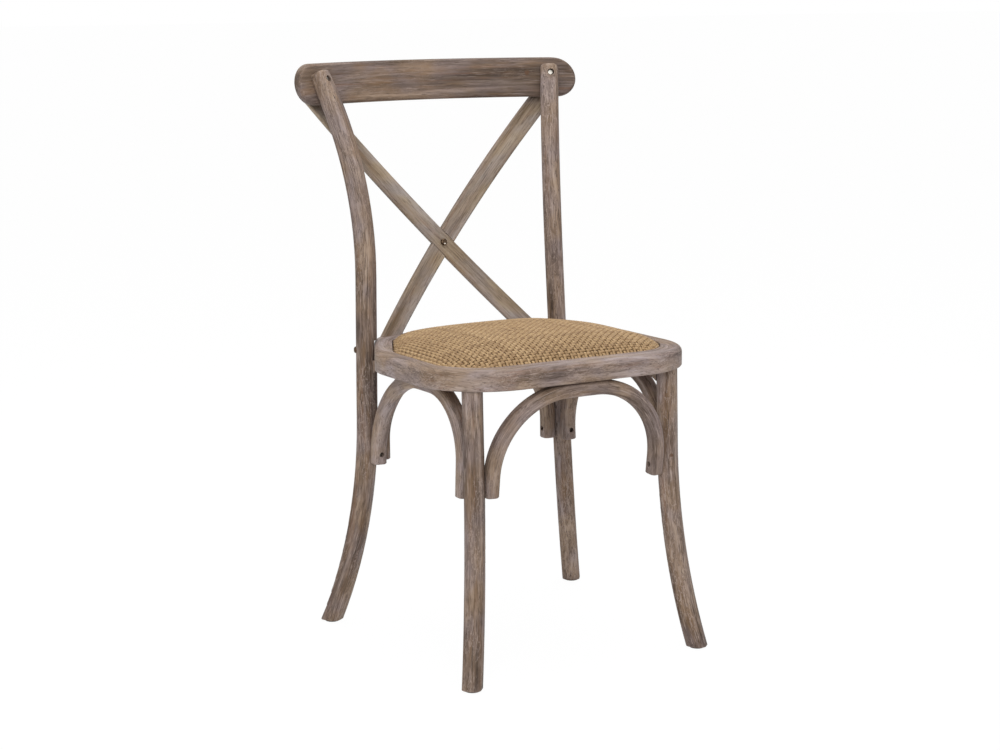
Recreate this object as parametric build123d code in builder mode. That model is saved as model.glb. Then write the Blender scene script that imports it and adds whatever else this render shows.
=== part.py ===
from build123d import *
import os
from math import cos, degrees, radians, sin, tan

# A cross-back bentwood dining chair. Millimetres, +Z up, the sitter faces -Y, and the origin
# lies on the floor under the middle of the whole chair. Pairs are drawn on the right (+X).

# Seat: height of the frame's top at the seat's centre, and its slope down to the back
seat_height = 461
seat_slope = 1.15
seat_y = -44.2

# Seat frame, measured from the seat's centre. The sides turn in at the waist towards the back.
frame_half_width = 224
frame_front = 200
frame_back = 203
frame_flank = 219.8
flank_turn = 27
frame_thick = 30
frame_radii = (114, 100, 52)
frame_top_round = 9
frame_bottom_round = 3

# Opening for the drop-in seat, and the ledge under it
opening_half_width = 194
opening_front = 160
opening_back = 164
opening_flank = 191.8
opening_radii = (78, 80, 45)
opening_round = 1.5
ledge_width = 40
ledge_thick = 18

# Drop-in seat: a board on the ledge and a crowned, woven pad on the board
board_thick = 10
board_gap = 1.5
board_round = 1
pad_gap = 0.8
pad_crown = 26
pad_edge_height = 5
pad_tuck = 0.02
pad_crown_power = 2.7
pad_steps = (0.985, 0.96, 0.92, 0.86, 0.78, 0.68, 0.56, 0.43, 0.29, 0.14)

# Bent bars of the legs and posts: a rounded square, its flats square to the bend
bar_width = 29
bar_depth = 30
bar_round = 10

# Rear post: a straight middle that leans, bent the same way at the foot and at the top
post_x = 176.53
post_y = 164.75
post_lean_x = -1.604
post_lean_y = 2.748
post_bend_way = 54.2
post_bend_low = 328
post_bend_high = 558
post_foot_radius = 827
post_top_radius = 655
post_top_height = 872
post_top_round = 5

# Front leg, straight under the seat and bent out at the foot
leg_x = 170.4
leg_y = -159.24
leg_lean_y = 2.348
leg_bend_way = -47.8
leg_bend_low = 319
leg_foot_radius = 1179
leg_tenon_radius = 9
leg_tenon_length = 20

# The places of the legs and posts are given at the height of the frame's underside
bar_height = seat_height - frame_thick

# Foot glides
glide_radius = 12
glide_thick = 3
glide_round = 1

# Back: the crest rail and the slats lie on one upright cylinder that leans back. The rail's
# place comes from the posts: its middle is below their tops and behind their centrelines.
back_lean = 16.1
back_radius = 609
rail_below_post_top = 20
rail_behind_post = 19.4
rail_width = 506
rail_height = 63.4
rail_thick = 18
rail_round = 4.5

# Cross slats, straight in the front view
slat_width = 30
slat_thick = 9
slat_angle = 42.2
slat_round = 2.5
slat_top_below_middle = 10
crossing_below_rail = 260
slat_tenon_width = 20
slat_tenon_thick = 7
slat_tenon_length = 10

# Bows under the seat
bow_width = 22.5
bow_round = 7.5
bow_drop = 162
bow_bite = 1.5
bow_end_chamfer = 1.5
front_bow_ahead_of_legs = 25.8
front_bow_lean = 8
front_bow_inside_legs = 27.9
front_bow_shoulders = (120, 120)
back_bow_ahead_of_posts = 2.8
back_bow_lean = 0
back_bow_inside_posts = 24
back_bow_shoulders = (120, 120)
side_bow_x = 170
side_bow_ahead_of_middle = 5.8
side_bow_lean = -2.1
side_bow_inside_bars = 27.5
side_bow_shoulders = (100, 135)

# Corner blocks under the frame
block_reach = 20
block_thick = 18

# Fasteners: radius and height of the head, radius and length of the shank, width of the drive
bow_screw = dict(head=3.6, rise=2.6, shank=2, length=26, drive=1.6)
top_screw = dict(head=3.6, rise=2.6, shank=2, length=30, drive=1.6)
crest_screw = dict(head=5, rise=3, shank=2.6, length=30, drive=2.4)
slat_screw = dict(head=3.4, rise=2, shank=1.7, length=20, drive=1.5)
post_bolt = dict(head=5.5, rise=5.5, shank=3, length=50, drive=2.5)
bow_screw_above_end = 16
bow_screw_depth = 9
top_screw_depth = 6
crest_screw_below_top = 13
crest_screw_ahead = 8
post_bolt_ahead = 14.5
slat_screws_below_middle = (17, 26)
slat_screw_seat = 0.6
dome_share = 0.7

# Rivet through the crossing
rivet_head_radius = 5.5
rivet_head_rise = 3.5
rivet_radius = 2.5
rivet_tail_radius = 4
rivet_tail_rise = 1.8
rivet_stand = 0.04
washer_radius = 6
washer_thick = 1.2

# Clearances: in a close joint, around a screw head, and past the wood where a cutter starts
fit_gap = 0.1
head_gap = 0.4
open_air = 60

# Planes of the seat
slope = radians(seat_slope)
seat_plane = Plane(
    origin=(0, seat_y, seat_height), x_dir=(1, 0, 0), z_dir=(0, sin(slope), cos(slope))
)
under_plane = seat_plane.offset(-frame_thick)
middle_plane = Plane.YZ


def seat_outline(half_width, front, back, flank, radii, size=1):
    """Outline of the seat about its centre: the right half from front to back, then its mirror."""
    side = cos(radians(flank_turn))
    rear = sin(radians(flank_turn))
    waist_y = (flank - side * half_width) / rear
    corner_x = (flank - rear * back) / side
    with BuildSketch() as outline:
        with BuildLine():
            FilletPolyline(
                (0, -front * size),
                (half_width * size, -front * size),
                (half_width * size, waist_y * size),
                (corner_x * size, back * size),
                (0, back * size),
                radius=[radius * size for radius in radii],
            )
            mirror(about=Plane.YZ)
        make_face()
    return outline.sketch


def opening_outline(inset, size=1):
    """Outline of the seat's opening, moved in by an inset and then scaled."""
    return seat_outline(
        opening_half_width - inset,
        opening_front - inset,
        opening_back - inset,
        opening_flank - inset,
        [radius - inset for radius in opening_radii],
        size,
    )


def bend_plane(x, y, lean_x, lean_y, bend_way):
    """Plane in which a bar bends: local Y runs up its straight middle, local X the way it bends."""
    up = Vector(tan(radians(lean_x)), tan(radians(lean_y)), 1).normalized()
    out = Vector(cos(radians(bend_way)), sin(radians(bend_way)), 0)
    normal = out.cross(up).normalized()
    return Plane(origin=(x, seat_y + y, bar_height), x_dir=up.cross(normal), z_dir=normal)


def rise_to(level, plane):
    """Distance up a bar's straight middle to where it meets a level plane."""
    return (level.origin - plane.origin).dot(level.z_dir) / plane.y_dir.dot(level.z_dir)


def arc_turn(rise, radius):
    """Degrees that an arc of a radius turns over a rise along its first direction."""
    return Vector((radius**2 - rise**2) ** 0.5, rise).get_angle(Vector(1, 0))


post_plane = bend_plane(post_x, post_y, post_lean_x, post_lean_y, post_bend_way)
leg_plane = bend_plane(leg_x, leg_y, 0, leg_lean_y, leg_bend_way)
post_top_turn = arc_turn(post_top_height - post_bend_high, post_top_radius)


def post_point(turn):
    """Point of the post's centreline after its top bend has turned by some degrees."""
    ahead = post_top_radius * (1 - cos(radians(turn)))
    rise = post_bend_high - bar_height + post_top_radius * sin(radians(turn))
    return post_plane.from_local_coords((ahead, rise, 0))


# Planes of the back, from the point of the post that carries the rail
lean = radians(back_lean)
rail_height_middle = post_top_height - rail_below_post_top
rail_point = post_point(arc_turn(rail_height_middle - post_bend_high, post_top_radius))
rail_bulge = back_radius - (back_radius**2 - rail_point.X**2) ** 0.5
rail_y = rail_point.Y + rail_behind_post + rail_bulge / cos(lean)
back_plane = Plane(
    origin=(0, rail_y, rail_height_middle), x_dir=(1, 0, 0), z_dir=(0, -cos(lean), sin(lean))
)
front_plane = Plane(origin=back_plane.origin, x_dir=(1, 0, 0), z_dir=(0, -1, 0))
across_back_plane = Plane(origin=back_plane.origin, x_dir=(1, 0, 0), z_dir=back_plane.y_dir)


def rear_bar(grow=0):
    """Bar of the right rear post, from below the floor to its top, grown all round."""
    low = post_bend_low - bar_height
    high = post_bend_high - bar_height
    foot_turn = arc_turn(post_bend_low + bar_depth, post_foot_radius)
    with BuildPart() as bar:
        with BuildLine(post_plane) as path:
            foot = CenterArc((post_foot_radius, low), post_foot_radius, 180 + foot_turn, -foot_turn)
            Line(foot @ 1, (0, high))
            CenterArc((post_top_radius, high), post_top_radius, 180, -post_top_turn)
        with BuildSketch(Plane(origin=path.line @ 0, x_dir=post_plane.z_dir, z_dir=path.line % 0)):
            RectangleRounded(bar_width + 2 * grow, bar_depth + 2 * grow, bar_round + grow)
        sweep()
    return bar.part


def front_bar(grow=0):
    """Bar of the right front leg, from below the floor to above the seat, grown all round."""
    low = leg_bend_low - bar_height
    foot_turn = arc_turn(leg_bend_low + bar_depth, leg_foot_radius)
    with BuildPart() as bar:
        with BuildLine(leg_plane) as path:
            foot = CenterArc((leg_foot_radius, low), leg_foot_radius, 180 + foot_turn, -foot_turn)
            Line(foot @ 1, (0, rise_to(seat_plane, leg_plane)))
        with BuildSketch(Plane(origin=path.line @ 0, x_dir=leg_plane.z_dir, z_dir=path.line % 0)):
            RectangleRounded(bar_width + 2 * grow, bar_depth + 2 * grow, bar_round + grow)
        sweep()
    return bar.part


def back_shell(middle, thick, reach):
    """Part of the leaning cylinder of the back: a wall about a radius, with a reach up and down."""
    with BuildPart() as shell:
        with BuildSketch(across_back_plane):
            with Locations((0, -back_radius)):
                Circle(middle + thick / 2)
                Circle(middle - thick / 2, mode=Mode.SUBTRACT)
        extrude(amount=reach, both=True)
    return shell.part


def rail_blank(grow=0):
    """Crest rail with square edges: a long slot in the front view, cut from the back's cylinder."""
    shell = back_shell(back_radius, rail_thick + 2 * grow, 2 * rail_height)
    with BuildPart() as blank:
        with BuildSketch(front_plane):
            SlotOverall(rail_width + 2 * grow, rail_height + 2 * grow)
        extrude(amount=2 * open_air, both=True)
        add(shell, mode=Mode.INTERSECT)
    return blank.part


slat_radius = back_radius + (rail_thick + slat_thick) / 2
slat_tilt = tan(radians(slat_angle))
slat_bottom = seat_height - frame_thick - rail_height_middle


def slat_strip(width, middle, thick, top=-slat_top_below_middle):
    """Straight strip of the slat that leans right, cut square at its top, down into the seat frame."""
    half = width / 2 / cos(radians(slat_angle))
    square_x = width / 2 * cos(radians(slat_angle))
    square_y = width / 2 * sin(radians(slat_angle))
    top_x = (top + crossing_below_rail) * slat_tilt
    bottom_x = (slat_bottom + crossing_below_rail) * slat_tilt
    shell = back_shell(middle, thick, -2 * slat_bottom)
    with BuildPart() as strip:
        with BuildSketch(front_plane):
            with BuildLine():
                Polyline(
                    (top_x - square_x, top + square_y),
                    (top_x + square_x, top - square_y),
                    (bottom_x + half, slat_bottom),
                    (bottom_x - half, slat_bottom),
                    close=True,
                )
            make_face()
        extrude(amount=2 * open_air, both=True)
        add(shell, mode=Mode.INTERSECT)
    return strip.part


def slat_tenon(grow=0):
    """Tenon at the foot of the slat that leans right, narrower than the slat, grown all round."""
    width = slat_tenon_width + 2 * grow
    strip = slat_strip(width, slat_radius, slat_tenon_thick + 2 * grow)
    with BuildPart() as tenon:
        add(strip)
        split(bisect_by=seat_plane.offset(-slat_tenon_length - grow), keep=Keep.TOP)
        split(bisect_by=seat_plane.offset(slat_tenon_length), keep=Keep.BOTTOM)
    return tenon.part


def back_point(x, level, radius):
    """Point of the back's cylinder of a radius, at a level above the middle of the crest rail."""
    ahead = back_radius - (radius**2 - x**2) ** 0.5
    up = (level - ahead * sin(lean)) / cos(lean)
    return back_plane.from_local_coords((x, up, ahead))


def away_from_sitter(point):
    """Direction square to the back's cylinder at a point, pointing away from the sitter."""
    level = back_plane.to_local_coords(point).Y
    axis = back_plane.from_local_coords((0, level, back_radius))
    return (point - axis).normalized()


def left_of(seat):
    """A seat plane carried over to the left half of the chair."""
    place = seat.origin
    way = seat.z_dir
    return Plane(origin=(-place.X, place.Y, place.Z), z_dir=(-way.X, way.Y, way.Z))


def drill(seat, size):
    """Hole for a screw whose head rests on a seat plane, open above the plane for the head."""
    with Locations(seat.offset(open_air)):
        CounterBoreHole(
            radius=size["shank"] + fit_gap,
            counter_bore_radius=size["head"] + head_gap,
            counter_bore_depth=open_air,
            depth=open_air + size["length"] + fit_gap,
        )


def screw(seat, size):
    """Screw with a domed head on a seat plane, a six-sided drive and a plain shank."""
    with BuildPart() as piece:
        with BuildSketch(seat):
            Circle(size["head"])
        extrude(amount=size["rise"])
        top = piece.faces().filter_by(GeomType.PLANE).sort_by_distance(seat.origin)[-1]
        fillet(top.edges(), size["rise"] * dome_share)
        with BuildSketch(seat.offset(size["rise"])):
            RegularPolygon(size["drive"], 6)
        extrude(amount=-size["rise"] / 2, mode=Mode.SUBTRACT)
        with BuildSketch(seat):
            Circle(size["shank"])
        extrude(amount=-size["length"])
    return piece.part


def pair_of_screws(seats, size):
    """One node with a screw on each seat plane and one on its left-hand twin."""
    pieces = []
    for seat in seats:
        pieces.append(screw(seat, size))
        pieces.append(screw(left_of(seat), size))
    with BuildPart() as group:
        for piece in pieces:
            add(piece)
    return group.part


def bow_plane(x, y, span, tilt):
    """Plane of a bow: local X along its span, local Y up to zero at the frame, leaning by a tilt."""
    across = span.cross(seat_plane.z_dir)
    up = seat_plane.z_dir * cos(radians(tilt)) + across * sin(radians(tilt))
    return Plane(origin=under_plane.from_local_coords((x, y, 0)), x_dir=span, z_dir=span.cross(up))


def bow_end_seat(plane, half_span, side):
    """Seat of the screw through one end of a bow, sunk in from the inside of the arch."""
    inside = half_span - bow_width / 2 + bow_screw_depth
    place = plane.from_local_coords((side * inside, bow_screw_above_end - bow_drop, 0))
    return Plane(origin=place, z_dir=plane.x_dir * -side)


def bow_top_seat(plane):
    """Seat of the screw up through the top of a bow into the seat frame."""
    place = plane.from_local_coords((0, top_screw_depth - bow_width, 0))
    return Plane(origin=place, z_dir=plane.y_dir * -1)


def bow(plane, tilt, half_span, shoulders, bars):
    """Bent bow under the seat: two ends hollowed to the bars, and a top that lies flat on the frame."""
    top = -bow_width / 2 / cos(radians(tilt))
    with BuildPart() as piece:
        with BuildLine(plane) as path:
            FilletPolyline(
                (-half_span, -bow_drop),
                (-half_span, top),
                (half_span, top),
                (half_span, -bow_drop),
                radius=shoulders,
            )
        with BuildSketch(Plane(origin=path.line @ 0, x_dir=plane.z_dir, z_dir=path.line % 0)):
            RectangleRounded(bow_width, bow_width, bow_round, rotation=-tilt)
        sweep()
        ends = piece.faces().sort_by(Axis.Z)[:2]
        chamfer(ends.edges(), bow_end_chamfer)
        for bar in bars:
            add(bar, mode=Mode.SUBTRACT)
        drill(bow_end_seat(plane, half_span, 1), bow_screw)
        drill(bow_end_seat(plane, half_span, -1), bow_screw)
        drill(bow_top_seat(plane), top_screw)
    return piece.part


def corner_block(plane):
    """Three-cornered block between a bar's inner flat and the underside of the seat frame."""
    flat = -bar_depth / 2
    top = rise_to(under_plane, plane)
    with BuildPart() as block:
        with BuildSketch(plane):
            with BuildLine():
                Polyline(
                    (flat, top - block_reach),
                    (flat, top + block_reach),
                    (flat - block_reach, top + block_reach),
                    (flat - block_reach, top),
                    close=True,
                )
            make_face()
        extrude(amount=block_thick / 2, both=True)
        split(bisect_by=under_plane, keep=Keep.BOTTOM)
    return block.part


def foot_glide(foot):
    """Round glide between a foot and the floor."""
    with BuildPart() as glide:
        with BuildSketch(Plane(origin=(foot.X, foot.Y, 0))):
            Circle(glide_radius)
        extrude(amount=glide_thick)
        chamfer(glide.edges().sort_by(Axis.Z)[0], glide_round)
    return glide.part


def save(piece, name):
    """Label a finished piece and write it to its own file."""
    piece.label = name
    export_step(piece, f"parts/{name}.step")


def save_pair(piece, name):
    """Write a right-hand piece and its mirrored left-hand twin."""
    save(piece, f"{name}_right")
    save(mirror(piece, about=middle_plane), f"{name}_left")


os.makedirs("parts", exist_ok=True)

# Places that more than one piece uses
front_bow_y = leg_y - front_bow_ahead_of_legs
back_bow_y = post_y - back_bow_ahead_of_posts
side_bow_y = (post_y + leg_y) / 2 - side_bow_ahead_of_middle
front_bow_plane = bow_plane(0, front_bow_y, seat_plane.x_dir, front_bow_lean)
back_bow_plane = bow_plane(0, back_bow_y, seat_plane.x_dir, back_bow_lean)
side_bow_plane = bow_plane(side_bow_x, side_bow_y, seat_plane.y_dir, side_bow_lean)
front_bow_span = leg_x - front_bow_inside_legs + bow_bite
back_bow_span = post_x - back_bow_inside_posts + bow_bite
side_bow_span = (post_y - leg_y) / 2 - side_bow_inside_bars + bow_bite

crest_place = post_point(post_top_turn - degrees(crest_screw_below_top / post_top_radius))
crest_way = away_from_sitter(crest_place)
crest_seat = Plane(origin=crest_place - crest_way * crest_screw_ahead, z_dir=-crest_way)

flank_way = seat_plane.x_dir * cos(radians(flank_turn)) + seat_plane.y_dir * sin(radians(flank_turn))
bolt_rise = rise_to(seat_plane.offset(-frame_thick / 2), post_plane)
bolt_place = post_plane.from_local_coords((0, bolt_rise, 0))
bolt_seat = Plane(origin=bolt_place + flank_way * post_bolt_ahead, z_dir=flank_way)

slat_screw_seats = []
for below in slat_screws_below_middle:
    slat_x = (crossing_below_rail - below) * slat_tilt
    slat_place = back_point(slat_x, -below, slat_radius + slat_thick / 2 - slat_screw_seat)
    slat_screw_seats.append(Plane(origin=slat_place, z_dir=away_from_sitter(slat_place)))

leg_top = leg_plane.from_local_coords((0, rise_to(under_plane, leg_plane), 0))
tenon_plane = Plane(origin=leg_top, z_dir=seat_plane.z_dir)

post_room = rear_bar(fit_gap)
leg_room = front_bar(fit_gap)
rail_room = rail_blank(fit_gap)
mortise = slat_tenon(fit_gap)
frame_outline = seat_outline(frame_half_width, frame_front, frame_back, frame_flank, frame_radii)

# Seat frame: a sloping ring with a rebate for the drop-in seat
with BuildPart() as seat_frame:
    with BuildSketch(seat_plane):
        add(frame_outline)
    extrude(amount=-frame_thick)
    flats = seat_frame.faces().filter_by(seat_plane).sort_by(Axis.Z)
    fillet(flats[-1].edges(), frame_top_round)
    flats = seat_frame.faces().filter_by(seat_plane).sort_by(Axis.Z)
    fillet(flats[0].edges(), frame_bottom_round)
    with BuildSketch(seat_plane):
        add(opening_outline(0))
    extrude(amount=ledge_thick - frame_thick, mode=Mode.SUBTRACT)
    with BuildSketch(seat_plane):
        add(opening_outline(ledge_width))
    extrude(amount=-frame_thick, mode=Mode.SUBTRACT)
    flats = seat_frame.faces().filter_by(seat_plane).sort_by(Axis.Z)
    fillet(flats[-1].inner_wires().edges(), opening_round)
    for turned in (mortise, mirror(mortise, about=middle_plane)):
        add(turned, mode=Mode.SUBTRACT)
    for seat in (tenon_plane, left_of(tenon_plane)):
        with BuildSketch(seat.offset(-fit_gap)):
            Circle(leg_tenon_radius + fit_gap)
        extrude(amount=leg_tenon_length + 2 * fit_gap, mode=Mode.SUBTRACT)
    for seat in (bolt_seat, left_of(bolt_seat)):
        drill(seat, post_bolt)
    for plane in (front_bow_plane, back_bow_plane, side_bow_plane):
        drill(bow_top_seat(plane), top_screw)
    drill(left_of(bow_top_seat(side_bow_plane)), top_screw)
save(seat_frame.part, "seat_frame")

# Drop-in seat: a flat board on the ledge
with BuildPart() as seat_board:
    with BuildSketch(seat_plane.offset(ledge_thick - frame_thick)):
        add(opening_outline(board_gap))
    extrude(amount=board_thick)
    fillet(seat_board.faces().filter_by(seat_plane).edges(), board_round)
save(seat_board.part, "seat_board")

# Woven pad: tucked in at the board, widest just above the frame, and crowned
with BuildPart() as seat_pad:
    pad_bottom = ledge_thick - frame_thick + board_thick
    with BuildSketch(seat_plane.offset(pad_bottom)):
        add(opening_outline(pad_gap, 1 - pad_tuck))
    with BuildSketch(seat_plane.offset(pad_edge_height / 2)):
        add(opening_outline(pad_gap))
    for size in pad_steps:
        rise = pad_edge_height + (pad_crown - pad_edge_height) * (1 - size**pad_crown_power)
        with BuildSketch(seat_plane.offset(rise)):
            add(opening_outline(pad_gap, size))
    loft(ruled=True)
save(seat_pad.part, "seat_pad")

# Rear posts, notched for the frame's flank and for the crest rail
with BuildPart() as rear_post:
    add(rear_bar())
    fillet(rear_post.faces().sort_by(Axis.Z)[-1].edges(), post_top_round)
    split(bisect_by=Plane.XY.offset(glide_thick), keep=Keep.TOP)
    with BuildSketch(seat_plane.offset(fit_gap)):
        add(frame_outline)
        offset(amount=fit_gap)
    extrude(amount=-frame_thick - 2 * fit_gap, mode=Mode.SUBTRACT)
    add(rail_room, mode=Mode.SUBTRACT)
    drill(crest_seat, crest_screw)
    drill(bolt_seat, post_bolt)
    drill(bow_end_seat(back_bow_plane, back_bow_span, 1), bow_screw)
    drill(bow_end_seat(side_bow_plane, side_bow_span, 1), bow_screw)
save_pair(rear_post.part, "rear_post")

# Front legs, cut to the underside of the frame with a round tenon on top
with BuildPart() as front_leg:
    add(front_bar())
    split(bisect_by=Plane.XY.offset(glide_thick), keep=Keep.TOP)
    split(bisect_by=under_plane, keep=Keep.BOTTOM)
    with BuildSketch(tenon_plane.offset(-leg_tenon_radius)):
        Circle(leg_tenon_radius)
    extrude(amount=leg_tenon_radius + leg_tenon_length)
    drill(bow_end_seat(front_bow_plane, front_bow_span, 1), bow_screw)
    drill(bow_end_seat(side_bow_plane, side_bow_span, -1), bow_screw)
save_pair(front_leg.part, "front_leg")

# Glides under the four feet
for name, bar in (("rear_glide", rear_post), ("front_glide", front_leg)):
    save_pair(foot_glide(bar.faces().sort_by(Axis.Z)[0].center()), name)

# Crest rail, bent round the sitter's back
with BuildPart() as crest_rail:
    add(rail_blank())
    fillet(crest_rail.edges(), rail_round)
    for seat in (crest_seat, left_of(crest_seat)):
        drill(seat, crest_screw)
    for seat in slat_screw_seats:
        drill(seat, slat_screw)
        drill(left_of(seat), slat_screw)
save(crest_rail.part, "crest_rail")

# Cross slats, lapped where they cross and tenoned into the seat frame
slat = slat_strip(slat_width, slat_radius, slat_thick)
tenon = slat_tenon()
lap_width = slat_width + 2 * fit_gap
front_lap = slat_strip(lap_width, slat_radius - slat_thick / 2, slat_thick + fit_gap)
rear_lap = slat_strip(lap_width, slat_radius + slat_thick / 2, slat_thick + fit_gap)
rivet_plane = Plane(origin=back_point(0, -crossing_below_rail, slat_radius), z_dir=back_plane.z_dir)

with BuildPart() as cross_slat_rear:
    add(slat)
    fillet(cross_slat_rear.edges().filter_by(lambda edge: edge.length > rail_height * 2), slat_round)
    split(bisect_by=seat_plane, keep=Keep.TOP)
    add(tenon)
    add(mirror(front_lap, about=middle_plane), mode=Mode.SUBTRACT)
    with Locations(rivet_plane):
        Hole(rivet_radius + fit_gap)
    for seat in slat_screw_seats:
        drill(seat, slat_screw)
save(cross_slat_rear.part, "cross_slat_rear")

with BuildPart() as cross_slat_front:
    add(mirror(slat, about=middle_plane))
    fillet(cross_slat_front.edges().filter_by(lambda edge: edge.length > rail_height * 2), slat_round)
    split(bisect_by=seat_plane, keep=Keep.TOP)
    add(mirror(tenon, about=middle_plane))
    add(rear_lap, mode=Mode.SUBTRACT)
    with Locations(rivet_plane):
        Hole(rivet_radius + fit_gap)
    for seat in slat_screw_seats:
        drill(left_of(seat), slat_screw)
save(cross_slat_front.part, "cross_slat_front")

# Rivet through the crossing, with a washer behind
with BuildPart() as rivet_washer:
    with BuildSketch(rivet_plane.offset(-slat_thick / 2)):
        Circle(washer_radius)
        Circle(rivet_radius + fit_gap, mode=Mode.SUBTRACT)
    extrude(amount=-washer_thick)
save(rivet_washer.part, "rivet_washer")

with BuildPart() as cross_rivet:
    with BuildSketch(rivet_plane.offset(slat_thick / 2 + rivet_stand)):
        Circle(rivet_head_radius)
    extrude(amount=rivet_head_rise)
    head_top = cross_rivet.faces().filter_by(rivet_plane).sort_by(Axis.Y)[0]
    fillet(head_top.edges(), rivet_head_rise * dome_share)
    with BuildSketch(rivet_plane.offset(slat_thick / 2 + rivet_stand)):
        Circle(rivet_radius)
    extrude(amount=-slat_thick - washer_thick - rivet_stand)
    with BuildSketch(rivet_plane.offset(-slat_thick / 2 - washer_thick)):
        Circle(rivet_tail_radius)
    extrude(amount=-rivet_tail_rise)
save(cross_rivet.part, "cross_rivet")

# Bows under the seat
left_leg_room = mirror(leg_room, about=middle_plane)
left_post_room = mirror(post_room, about=middle_plane)
front_bow = bow(
    front_bow_plane, front_bow_lean, front_bow_span, front_bow_shoulders, (leg_room, left_leg_room)
)
back_bow = bow(
    back_bow_plane, back_bow_lean, back_bow_span, back_bow_shoulders, (post_room, left_post_room)
)
side_bow = bow(side_bow_plane, side_bow_lean, side_bow_span, side_bow_shoulders, (leg_room, post_room))
save(front_bow, "bow_front")
save(back_bow, "bow_back")
save_pair(side_bow, "bow_side")

# Corner blocks against the four bars
save_pair(corner_block(leg_plane), "front_corner_block")
save_pair(corner_block(post_plane), "rear_corner_block")

# Screws and bolts, one node for each kind
save(pair_of_screws([crest_seat], crest_screw), "crest_screws")
save(pair_of_screws([bolt_seat], post_bolt), "post_bolts")
save(pair_of_screws(slat_screw_seats, slat_screw), "slat_screws")
end_seats = [
    bow_end_seat(front_bow_plane, front_bow_span, 1),
    bow_end_seat(back_bow_plane, back_bow_span, 1),
    bow_end_seat(side_bow_plane, side_bow_span, 1),
    bow_end_seat(side_bow_plane, side_bow_span, -1),
]
save(pair_of_screws(end_seats, bow_screw), "bow_end_screws")
top_screws = [screw(bow_top_seat(plane), top_screw) for plane in (front_bow_plane, back_bow_plane)]
with BuildPart() as bow_top_screws:
    add(pair_of_screws([bow_top_seat(side_bow_plane)], top_screw))
    for piece in top_screws:
        add(piece)
save(bow_top_screws.part, "bow_top_screws")
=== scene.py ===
import math
from typing import NamedTuple

import bpy
import numpy as np
from bpy.props import FloatProperty, FloatVectorProperty, IntProperty, PointerProperty
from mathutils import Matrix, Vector
from numpy.polynomial.polynomial import polyfit


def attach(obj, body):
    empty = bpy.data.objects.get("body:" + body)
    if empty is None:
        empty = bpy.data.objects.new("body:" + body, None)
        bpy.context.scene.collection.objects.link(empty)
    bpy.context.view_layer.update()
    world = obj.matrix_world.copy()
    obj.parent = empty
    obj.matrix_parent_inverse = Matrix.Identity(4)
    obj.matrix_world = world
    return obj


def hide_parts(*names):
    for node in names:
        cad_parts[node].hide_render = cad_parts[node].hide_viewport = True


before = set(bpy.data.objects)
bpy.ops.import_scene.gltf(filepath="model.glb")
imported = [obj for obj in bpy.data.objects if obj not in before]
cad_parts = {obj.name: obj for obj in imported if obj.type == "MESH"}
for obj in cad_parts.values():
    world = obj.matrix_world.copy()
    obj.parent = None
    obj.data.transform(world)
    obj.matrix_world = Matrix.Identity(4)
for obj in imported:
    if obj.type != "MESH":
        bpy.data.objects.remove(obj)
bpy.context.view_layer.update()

bl_info = {
    "name": "Cross-back bentwood chair",
    "version": (1, 0, 0),
    "blender": (4, 5, 0),
    "location": "View3D > Sidebar > Chair",
    "description": "Washed wood, a woven rattan seat and metal fittings on the chair's packed solids",
    "category": "Object",
}

# Pieces by the way their grain runs, or by their finish
BARS = ("rear_post_left", "rear_post_right", "front_leg_left", "front_leg_right")
SLATS = ("cross_slat_front", "cross_slat_rear")
CROSSWISE_BOWS = ("bow_front", "bow_back")
SIDE_BOWS = ("bow_side_left", "bow_side_right")
BLOCKS = (
    "front_corner_block_left",
    "front_corner_block_right",
    "rear_corner_block_left",
    "rear_corner_block_right",
)
GLIDES = ("front_glide_left", "front_glide_right", "rear_glide_left", "rear_glide_right")
ZINC = ("crest_screws", "bow_end_screws", "bow_top_screws", "slat_screws")
BRONZE = ("rivet_washer", "post_bolts")

# How much paler a wooden piece is than the middle tone, or darker below nought
TONES = {
    "rear_post_left": -0.02,
    "rear_post_right": 0.04,
    "front_leg_left": -0.08,
    "front_leg_right": 0.02,
    "crest_rail": -0.19,
    "cross_slat_front": 0.14,
    "cross_slat_rear": 0.06,
    "seat_frame": 0.15,
    "bow_front": 0.06,
    "bow_back": 0.06,
    "bow_side_left": 0.24,
    "bow_side_right": 0.06,
}

# How worn a wooden piece is, where most have 1
WEAR = {
    "rear_post_left": 1.25,
    "rear_post_right": 1.5,
    "front_leg_right": 1.4,
    "crest_rail": 0.3,
    "cross_slat_front": 0.4,
    "cross_slat_rear": 0.4,
}

# Place and radius of a dark knot, in metres
KNOTS = {
    "front_leg_right": ((0.1667, -0.2248, 0.3017), 0.003),
    "crest_rail": ((0.1758, 0.2192, 0.8598), 0.0045),
}


class Layer(NamedTuple):
    """A noise over the wood: how often it changes along a grain streak's length and across its width, its
    detail and roughness, and the range over which it sets in."""

    along: float
    across: float
    detail: float
    rough: float
    low: float = 0.0
    high: float = 1.0


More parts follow.
